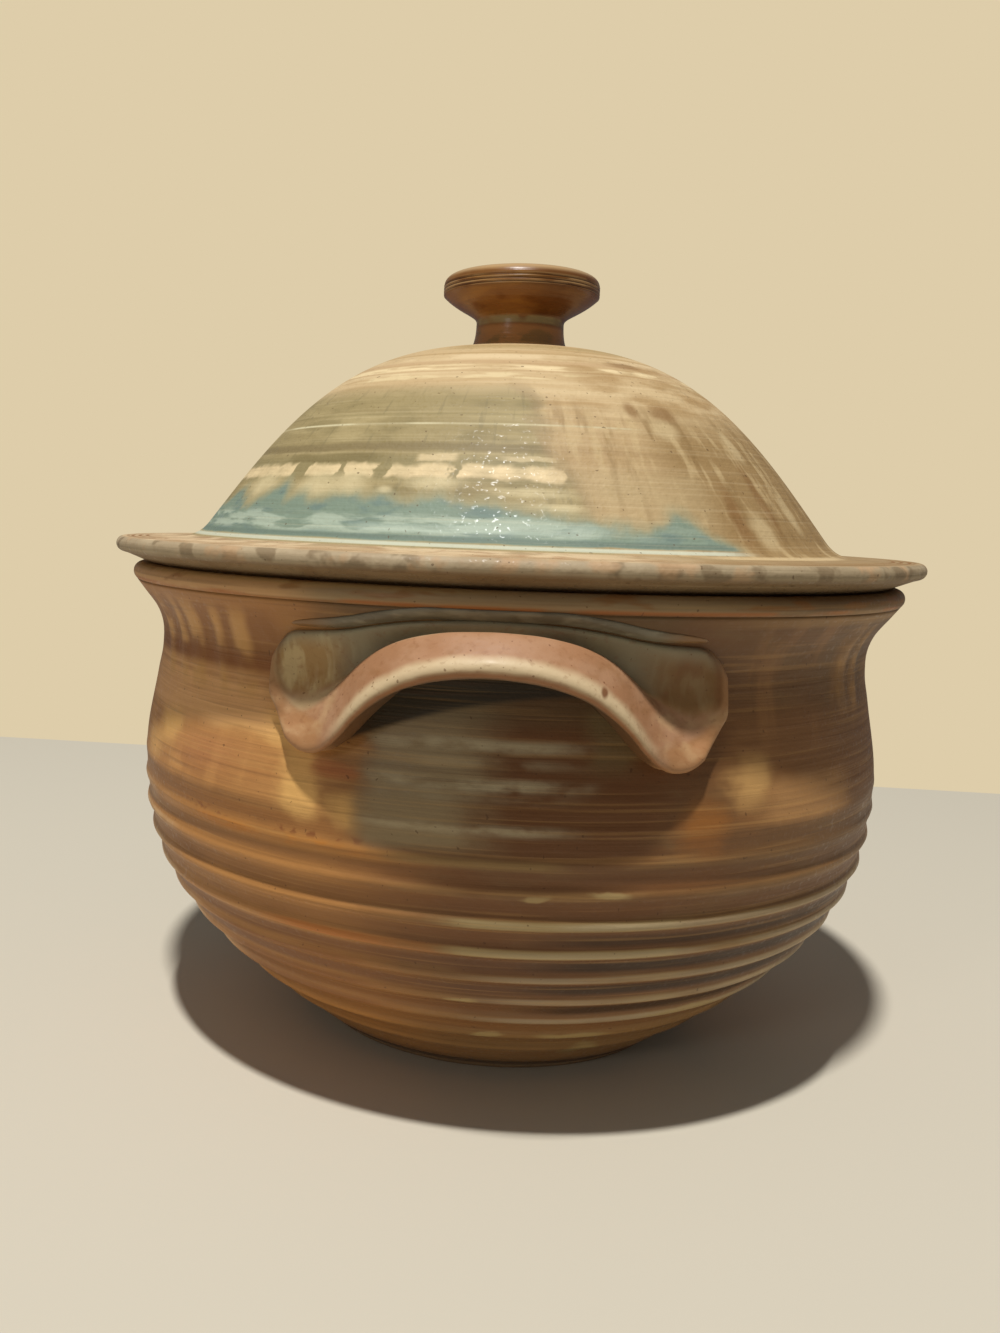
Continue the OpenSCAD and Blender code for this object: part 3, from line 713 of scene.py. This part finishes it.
joint = Glaze("welt_glaze", "857C66")
joint.paint(joint.cloud(14, 4, 3).rise(0.4, 0.6) * 0.6, "6B5F49")
joint.paint(1 - joint.near.band(-21, 21, 3), "8E6840")
joint.paint(joint.cloud(9, 3, 3).rise(0.52, 0.7) * 0.6, "A1977C")
welt_glaze = joint.fire(0.22 + joint.cloud(9, 4) * 0.15, joint.cloud(6, 1.2, 2) * 0.15)
for side, half_turn in sides:
    bm = lofted([welt_ring(welt_span * (step / 40 - 1)) for step in range(81)])
    swung(bm, half_turn)
    welt = finished(f"{side}_welt", bm, "pot", "welt_glaze", f"{side}_handle_welt")
    laid_on(welt, welt_glaze)

# Lid: a stoneware dome thrown in one with its wide flat brim. Three fine lines are cut near the
# brim's edge. It rests loose on the pot's rim and has no hinge.
lid_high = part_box("lid_dome")[1] / MM
brim_r = lid_high.x
brim_edge = 2.5
brim_lift = 6.2
brim_z = rim_z + brim_lift
dome_r = 108
dome_top = lid_high.z
lid_t = 6.8
knob_base_r = 18.5
collar_r = 117.6
seat_out = 128.5
dome_lean = math.radians(53.4)
dome_pull = 35.4
dome_foot_z = brim_z + 8.8
brim_top = brim_z + brim_edge + 0.6
foot_out = dome_r + 9
dome_line = curve((dome_r, dome_foot_z),
                  (dome_r - dome_pull * math.cos(dome_lean), dome_foot_z + dome_pull * math.sin(dome_lean)),
                  (knob_base_r + 45, dome_top), (knob_base_r, dome_top), 90)
foot_line = curve((foot_out, brim_top), (dome_r + 4.5, brim_top + 0.4), (dome_r + 2.2, dome_foot_z - 3),
                  (dome_r, dome_foot_z), 14)


def brim_height(r):
    edge_r = brim_r - brim_edge
    return brim_z + brim_edge + (brim_top - brim_z - brim_edge) * (edge_r - r) / (edge_r - foot_out)


edge_line = [Vector((brim_r - brim_edge, brim_z)) + brim_edge * Vector((math.cos(a), math.sin(a)))
             for a in (math.radians(12 * step - 90) for step in range(16))]
cut_lines = (brim_r - 5.4, brim_r - 7.8, brim_r - 10.2)
cut_deep = 0.45
brim_cut = []
for r in cut_lines:
    for across_r, deep in ((0.7, 0), (0.35, 0.12), (0, cut_deep), (-0.35, 0.12), (-0.7, 0)):
        brim_cut.append(Vector((r + across_r, brim_height(r + across_r) - deep)))
under_line = moved(dome_line[::3] + [dome_line[-1]], -lid_t, -lid_t)
under_foot = curve((collar_r - 4, rim_z), (collar_r - 7, rim_z + 2.4),
                   (under_line[0].x + 2.4, under_line[0].y - 3.2), under_line[0], 8)
under_seat = [Vector((collar_r, rim_z)), Vector((seat_out, rim_z))]
dome_middle = [Vector((8, dome_top)), Vector((0, dome_top)), Vector((0, dome_top - lid_t))]
lid_outline = (under_seat + edge_line + brim_cut + foot_line + dome_line[1:] + dome_middle
               + under_line[::-1] + under_foot[::-1][1:])

# The lid's coats are laid by fall: how far out and down a place is from the middle of the dome
pool = Glaze("lid_glaze", "C9AC7E")
lid_turn = pool.turn + pool.wander(2.5, 22, 22, 3)
fall = pool.radius - pool.height + lid_high.z
true_fall = fall
fall = fall + pool.wander(1.6, 16, 16, 3)
pool.across, pool.up = lid_turn, fall
pool.paint(pool.cloud(70, 5, 3, up=fall).rise(0.42, 0.66) * 0.5, "DCC294")
pool.paint(pool.cloud(50, 6, 3, up=fall).rise(0.5, 0.7) * 0.5, "B08C5A")
pool.paint((1 - fall.rise(28, 40)) * 0.6, "DDB27A")
pool.paint(fall.band(40, 50, 4) * pool.cloud(40, 9, 2).rise(0.42, 0.6) * 0.7, "A98E5C")
pool.paint(fall.band(59, 65, 1.5) * pool.cloud(24, 9, 2).rise(0.4, 0.55) * 0.7, "E0C69A")
pool.paint(true_fall.band(56, 58, 0.8) * 0.4, "A5834F")
pool.paint(fall.band(66, 70, 1.5) * 0.5, "B8946A")
pool.paint(fall.band(71.5, 76, 1) * pool.cloud(18, 6, 2, up=fall).rise(0.42, 0.56) * 0.85, "ECD4A4")
pool.paint(fall.band(78.5, 84, 1) * pool.cloud(20, 6, 2, up=fall).rise(0.44, 0.58) * 0.8, "E2CB9B")
pool.paint(true_fall.band(76.4, 77.6, 0.6) * 0.4, "B28E62")

# An olive glaze was poured over the left of the dome. Its edge ran down beside the middle.
edge = lid_turn - (fall - 100) * 0.13 + pool.wander(5, 12, 26, 3)
poured = (1 - edge.rise(1, 10)) * lid_turn.rise(-175, -160)
olive = poured * fall.rise(86, 100)
pool.paint(poured * fall.rise(84, 92) * 0.5, "B8A278")
pool.paint(olive * 0.95, "9F8D60")
pool.paint(olive * pool.cloud(34, 8, 3, up=fall).rise(0.42, 0.66) * 0.7, "B6A374")
pool.paint(olive * pool.cloud(20, 12, 3, up=fall).rise(0.52, 0.7) * 0.6, "87784F")
pool.paint(olive * pool.runs(3, 20, 2, up=fall).rise(0.58, 0.7) * 0.35, "7A6E4C")
pool.paint(edge.band(3, 6.5, 1.2) * fall.band(88, 168, 8) * 0.3, "8D7150")
pool.paint(poured * true_fall.band(108.6, 109.6, 0.5) * 0.35, "7E7048")
pale_line = true_fall.band(114.6, 115.6, 0.4) * lid_turn.band(-150, 26, 4)
pool.paint(pale_line * (0.35 + pool.cloud(24, 30).rise(0.4, 0.55) * 0.6), "DCD0A6")
pool.paint(fall.band(126.6, 131, 1.2) * poured * 0.75, "85744F")
pool.paint(fall.band(128, 131, 1) * (1 - poured) * 0.4, "8A6A44")

# A row of cream marks where the glaze broke over a throwing line
pool.paint(fall.band(134, 147, 2) * poured * 0.6, "8F8259")
pool.paint(lid_turn.band(-48, -24, 3) * fall.band(132.5, 137.5, 1) * 0.6, "77683F")
ragged = true_fall + pool.wander(2.6, 5, 9) + pool.wander(1.4, 14, 30)
crust = ragged.band(138.8, 145.2, 1.5) * lid_turn.rise(-172, -158)
torn = lid_turn + pool.wander(2.2, 4, 4)
breaks = torn.rise(36, 42)
for low, high, soft in ((-44, -39.6, 0.8), (-32.4, -30.8, 0.7), (-24, -21.2, 0.8), (-9.2, -8, 0.7),
                        (10, 15, 1), (23, 33, 1.5)):
    breaks = breaks + torn.band(low, high, soft)
thick = pool.cloud(6, 7, 3)
whole = (1 - breaks.rise(0.2, 0.8)) * (1 - lid_turn.rise(9, 30) * 0.6)
pool.paint(crust * whole * (0.3 + thick), "EDD3A2")
pool.paint(lid_turn.band(-16, -8.6, 0.8) * (fall + thick * 3).band(134, 138, 0.8) * 0.8, "E0C898")
pool.paint(lid_turn.band(0, 8.6, 1.4) * (fall + thick * 2).band(134, 136.6, 0.6) * 0.7, "D9C394")
pool.dab("D3C193", 0.45 + thick * 0.8, 0.7, (-52, 150, 5, 6), (-35, 150, 3.8, 6), (-28, 149, 3.2, 6),
         (-20.4, 151.6, 1.2, 1.6), (-12, 148, 4, 3), (4, 151, 6, 2), (20, 150, 4.6, 5), (8, 158.6, 4, 1.8),
         (29, 154, 3, 4))

# The right of the dome is tan, with brown runs and cream ovals between them
tan = 1 - poured
high_right = tan * lid_turn.band(17, 150, 7) * fall.band(58, 104, 8)
pool.paint(high_right * pool.cloud(16, 9, 3, up=fall).rise(0.4, 0.64) * 0.6, "A27E4C")
pool.paint(tan * fall.rise(100, 130) * 0.7, "B39466")
pool.paint(tan * lid_turn.band(29, 150, 5) * fall.rise(92, 124) * 0.75, "957648")
pool.paint(tan * pool.runs(7, 40, 4, up=fall).rise(0.5, 0.68) * fall.rise(90, 116) * 0.65, "8E7044")
pool.paint(tan * pool.runs(6, 22, 3, up=fall).rise(0.5, 0.68) * fall.rise(96, 116) * 0.6, "CBB080")
pool.paint(tan * fall.band(139, 172, 4) * lid_turn.band(10, 36, 3) * 0.5, "C0A77A")
pool.dab("8A6438", 0.7, 0.6, (28, 103, 1.6, 5), (36, 104, 3, 5), (38, 66, 6, 3), (41, 160, 1.6, 14),
         (50, 150, 1.4, 16))
pool.dab("CBB284", 0.75, 0.5, (45.4, 167, 2.2, 9), (53, 120, 2, 9), (34, 114, 3, 6), (59, 156, 2, 10))

# Teal glaze pooled where the dome meets the brim. Its upper edge is ragged.
shore = 157.5 + lid_turn.rise(-8, 20) * 11 + lid_turn.rise(30, 42) * 12 + pool.wander(7, 9, 40, 3)
for bay_turn, wide, deep in ((-60, 5, -4), (-52, 4, 5), (-43.5, 4.6, -7), (12, 3, -2), (28.4, 6, -8),
                             (-70, 6, 4)):
    shore = shore + lid_turn.band(bay_turn - wide / 2, bay_turn + wide / 2, wide / 2) * deep
dome_foot = (1 - fall.rise(176.4, 178)) * lid_turn.rise(-175, -160) * (1 - lid_turn.rise(36, 42))
pool.paint((fall - shore).rise(-8, 1) * dome_foot * 0.7, "9C9C7C")
teal = (fall - shore).rise(-2.5, 4) * dome_foot
pool.paint(teal * 0.95, "81927F")
pool.paint(teal * pool.cloud(16, 9, 3, up=fall).rise(0.48, 0.64) * 0.8, "70837A")
milky = fall.band(164, 173.5, 2) * pool.cloud(18, 5, 3, up=fall).rise(0.42, 0.56)
pool.paint(teal * milky * (1 - lid_turn.rise(8, 20) * 0.7) * 0.85, "B0BCA6")
pool.paint(teal * true_fall.band(168.6, 172.4, 1.2) * lid_turn.band(-24, 14, 3) * 0.5, "BAC7B4")
pool.paint(teal * true_fall.band(174, 177, 0.8) * 0.8, "6B7A6C")
shoreline = true_fall.band(178, 180.8, 0.7) * lid_turn.rise(-175, -160)
pool.paint(shoreline * (1 - lid_turn.rise(33, 42)) * 0.9, "CACBB2")

# Brim: cream and tan in small clouds, browner to the right, with brown lines and a spotted edge
brim_mask = true_fall.rise(181.5, 184)
pool.paint(brim_mask, "BEA078")
pool.paint(true_fall.band(182, 188, 1.4) * 0.6, "A58C66")
pool.paint(brim_mask * pool.cloud(15, 15, 3).rise(0.42, 0.6) * 0.8, "DCC198")
pool.paint(brim_mask * pool.cloud(8, 8, 3).rise(0.54, 0.68) * 0.6, "A8805A")
pool.paint(brim_mask * lid_turn.rise(8, 30) * (1 - lid_turn.rise(120, 160)) * 0.75, "96794E")
pool.paint(true_fall.band(181.5, 186, 1) * lid_turn.band(30, 64, 6) * 0.6, "E0C594")
edge_mask = (pool.radius - (brim_r - 2.4)).rise(0, 1.2)
pool.paint(edge_mask * 0.7, "A9987A")
pool.paint(edge_mask * pool.cloud(9, 9, 3).rise(0.5, 0.6) * 0.7, "806A4C")
pool.paint(edge_mask * pool.cloud(12, 12, 3).rise(0.52, 0.64) * 0.7, "C29C72")
brim_face = pool.height.rise(165, 168)
for r in cut_lines:
    pool.paint((pool.radius - r).band(-0.5, 0.5, 0.3) * brim_face * 0.8, "8A5C32")
pool.paint((pool.radius - brim_r).band(-4.4, -3.4, 0.4) * brim_face * 0.6, "8A6238")
under_brim = (1 - pool.height.rise(brim_z - 2, brim_z - 0.8)) * pool.radius.rise(124, 130)
pool.paint(under_brim * 0.8, "7A6244")

pool_line = pool.cloud(90, 1.3, 2, up=true_fall)
pool.paint(pool_line.rise(0.54, 0.72) * 0.09, "7A6240")
pool.paint((1 - pool_line.rise(0.3, 0.46)) * 0.09, "F0DDB4")
pool.paint(pool.cloud(1.2, 1.2, 0).rise(0.8, 0.84) * 0.6, "5E4426")
sparkle = pool.cloud(1.5, 1.5, 1)
rough_lid = 0.54 + pool.cloud(20, 9, 3) * 0.16 - sparkle.rise(0.6, 0.7) * 0.3
lid_relief = pool_line * 0.1 + sparkle * 0.16 + pool.cloud(40, 5, 2, up=true_fall) * 0.4
lid_glaze = pool.fire(rough_lid, lid_relief, coat=0)
lid_bm = thrown(lid_outline, steps=256, closed=True)
lid = finished("lid", lid_bm, "lid", "lid_glaze", "lid_dome")
laid_on(lid, lid_glaze)

# Collar: a ring of clay thrown with the lid, under its brim. It is left bare of glaze, drops into
# the pot's mouth and keeps the lid in the middle.
collar_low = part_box("lid_collar")[0].z / MM
collar_outline = [(collar_r - 4, rim_z), (collar_r - 4.4, collar_low + 2),
                  (collar_r - 4.2, collar_low + 0.8), (collar_r - 3.4, collar_low),
                  (collar_r - 2, collar_low), (collar_r - 0.9, collar_low + 0.5),
                  (collar_r, collar_low + 2.2), (collar_r + 0.6, rim_z)]
collar_clay = Glaze("bare_collar", "A98A68")
collar_clay.paint(collar_clay.cloud(30, 3, 3).rise(0.4, 0.7) * 0.5, "BDA27E")
collar_clay.paint(collar_clay.cloud(1, 1, 0).rise(0.74, 0.8) * 0.5, "6A4A2E")
collar_rough = 0.8 + collar_clay.cloud(1, 1) * 0.15
bare_collar = collar_clay.fire(collar_rough, collar_clay.cloud(0.9, 0.9, 2) * 0.1, coat=0)
collar_bm = thrown(collar_outline, steps=192, closed=True)
collar = finished("collar", collar_bm, "lid", "bare_collar", "lid_collar")
laid_on(collar, bare_collar)

# Knob: thrown on top of the dome in the same clay, with a narrow waist and a wide flat cap. Three
# fine lines are cut round the edge of the cap.
knob_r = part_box("lid_knob")[1].x / MM
knob_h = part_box("lid_knob")[1].z / MM - dome_top
waist_r = 15.5
cap_t = 6
groove_gap = 1.2
groove_deep = 0.35
cap_z = dome_top + knob_h - cap_t
waist_z = dome_top + knob_h * 0.38
under_cap = curve((waist_r, waist_z), (waist_r, waist_z + 2.9), (knob_r - 5.6, cap_z - 6.6),
                  (knob_r - 0.1, cap_z - 1.4), 24)
knob_flare = curve((knob_base_r, dome_top), (waist_r + 0.8, dome_top + 1.4), (waist_r, waist_z - 5),
                   (waist_r, waist_z), 14)
knob_side = []
for groove in range(3):
    groove_z = cap_z - 0.7 + groove * groove_gap
    knob_side += [Vector((knob_r, groove_z - 0.3)), Vector((knob_r - groove_deep, groove_z)),
                  Vector((knob_r, groove_z + 0.3))]
shoulder = curve((knob_r - 0.1, cap_z + 2.4), (knob_r - 0.4, cap_z + 4.6), (knob_r - 2.6, cap_z + cap_t),
                 (knob_r - 6.6, cap_z + cap_t), 12)
dish = curve((knob_r - 6.6, cap_z + cap_t), (knob_r - 11, cap_z + cap_t),
             (10, cap_z + 4.6), (0, cap_z + 4.6), 12)
knob_outline = [Vector((0, dome_top))] + knob_flare + under_cap[1:] + knob_side + shoulder + dish[1:]
amber = Glaze("knob_glaze", "86592C")
knob_height = amber.height
amber.paint(amber.cloud(14, 2.4, 3).rise(0.4, 0.65) * 0.7, "9A6A30")
amber.paint(amber.cloud(9, 5, 3).rise(0.52, 0.7) * 0.6, "6A3C14")
amber.paint(amber.turn.band(12, 150, 16) * 0.6, "572F10")
amber.paint(knob_height.rise(cap_z + 3, cap_z + 5) * 0.8, "C6A474")
cap_side = (amber.radius - knob_r).rise(-0.5, 0.1) * knob_height.band(cap_z - 1, cap_z + 2.4, 0.4)
amber.paint(cap_side * amber.cloud(12, 0.8).rise(0.4, 0.6) * 0.6, "C09A66")
waist_band = knob_height.band(dome_top + 8.6, dome_top + 11, 0.6)
amber.paint(waist_band * amber.cloud(12, 8).rise(0.4, 0.55) * 0.7, "A89A6A")
# Painted light: the lower waist under the cap is made paler to make up for the shade the cap throws on it
amber.paint((1 - knob_height.rise(dome_top + 7, dome_top + 9)) * 0.8, "B9854E")
knob_foot = knob_height.band(dome_top + 1, dome_top + 7, 1.5)
amber.paint(knob_foot * amber.cloud(8, 5).rise(0.5, 0.65) * 0.6, "7C6638")
amber.paint((1 - knob_height.rise(dome_top + 0.8, dome_top + 2.4)) * 0.9, "CDA36C")
knob_rough = 0.22 + amber.cloud(9, 4) * 0.16
knob_glaze = amber.fire(knob_rough, amber.cloud(30, 0.8, 1) * 0.16 + amber.cloud(2, 2, 2) * 0.05)
knob = finished("knob", thrown(knob_outline, steps=192), "lid", "knob_glaze", "lid_knob")
laid_on(knob, knob_glaze)

# Steaming tray: a pierced stoneware plate with a low raised edge. It rests loose on the ledge and
# carries the food above the water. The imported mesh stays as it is, and gets its glaze here.
plate = Glaze("tray_glaze", "9C7C54")
plate.paint(plate.cloud(30, 30, 3).rise(0.4, 0.65) * 0.6, "B0946A")
plate.paint(plate.cloud(12, 12, 3).rise(0.52, 0.7) * 0.5, "7C5A38")
plate.paint(plate.cloud(1.4, 1.4, 0).rise(0.77, 0.82) * 0.6, "4A301A")
tray_glaze = plate.fire(0.3 + plate.cloud(14, 14) * 0.2, plate.cloud(2.6, 2.6, 2) * 0.08)
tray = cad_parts["steaming_tray"]
tray.data.materials.clear()
tray.data.materials.append(tray_glaze)

# Studio: a pale floor and backdrop, a high soft key lamp and a low fill lamp from the left front.
# The floor's and the lamps' sizes are metres.
bpy.context.scene.view_settings.view_transform = "Standard"
floor_half = 0.42
floor_stretch = Matrix.Diagonal((2.5, 1, 1, 1))
floor_mesh = bpy.data.meshes.new("floor")
bm = bmesh.new()
bmesh.ops.create_grid(bm, x_segments=1, y_segments=1, size=floor_half, matrix=floor_stretch)
bm.to_mesh(floor_mesh)
bm.free()
floor = bpy.data.objects.new("floor", floor_mesh)
bpy.context.scene.collection.objects.link(floor)
table = bpy.data.materials.new("pale_floor")
table.use_nodes = True
table_top = table.node_tree.nodes["Principled BSDF"]
table_top.inputs["Base Color"].default_value = tint("CFC6B2")
table_top.inputs["Roughness"].default_value = 0.8
laid_on(floor, table)

# The camera stands in front of the pot, looks a little down and leans a little to one side
pitch, yaw, roll, swing = 7.23, -5.28, 1.95, 1.2
camera_stand = Vector((1.088, -432.5, 178.67)) * MM
cos_yaw, sin_yaw = math.cos(math.radians(yaw)), math.sin(math.radians(yaw))
cos_pitch, sin_pitch = math.cos(math.radians(pitch)), math.sin(math.radians(pitch))
cos_roll, sin_roll = math.cos(math.radians(roll)), math.sin(math.radians(roll))
rightwards = Vector((cos_yaw, -sin_yaw, 0))
onwards = Vector((sin_yaw * cos_pitch, cos_yaw * cos_pitch, -sin_pitch))
upwards = Vector((sin_yaw * sin_pitch, cos_yaw * sin_pitch, cos_pitch))
rolled_right = rightwards * cos_roll + upwards * sin_roll
rolled_up = upwards * cos_roll - rightwards * sin_roll
camera_data = bpy.data.cameras.new("camera")
camera_data.lens = 31.62
camera_data.sensor_width = 36
camera_data.shift_x = 0.075
camera = bpy.data.objects.new("camera", camera_data)
bpy.context.scene.collection.objects.link(camera)
stand = Matrix((rolled_right, rolled_up, -onwards)).transposed().to_4x4()
stand.translation = camera_stand
camera.matrix_world = Matrix.Rotation(math.radians(swing), 4, "Z") @ stand
camera_data.clip_start = 0.01
bpy.context.scene.camera = camera

world = bpy.data.worlds.new("studio")
bpy.context.scene.world = world
world.use_nodes = True
sky = world.node_tree
soft_light = sky.nodes["Background"]
soft_light.inputs["Color"].default_value = (1, 1, 1, 1)
soft_light.inputs["Strength"].default_value = 0.15
backdrop = sky.nodes.new("ShaderNodeBackground")
backdrop.inputs["Color"].default_value = tint("DECDAA")
seen = sky.nodes.new("ShaderNodeLightPath")
either = sky.nodes.new("ShaderNodeMixShader")
sky.links.new(seen.outputs["Is Camera Ray"], either.inputs[0])
sky.links.new(soft_light.outputs[0], either.inputs[1])
sky.links.new(backdrop.outputs[0], either.inputs[2])
sky.links.new(either.outputs[0], sky.nodes["World Output"].inputs["Surface"])

lamp_aim = Vector((0, 0, 0.12))


def lamp(name, turn, elevation, distance, size, power):
    """A round lamp that shines at the pot from a turn and an elevation in degrees."""
    data = bpy.data.lights.new(name, "AREA")
    data.shape = "DISK"
    data.size = size
    data.energy = power
    made = bpy.data.objects.new(name, data)
    bpy.context.scene.collection.objects.link(made)
    a, e = math.radians(turn), math.radians(elevation)
    direction = Vector((math.sin(a) * math.cos(e), -math.cos(a) * math.cos(e), math.sin(e)))
    made.location = lamp_aim + direction * distance
    made.rotation_euler = direction.to_track_quat("Z", "Y").to_euler()


lamp("key", -8.6, 71, 4.0, 0.22, 165)
lamp("fill", -31, 17, 2.0, 0.3, 2.2)
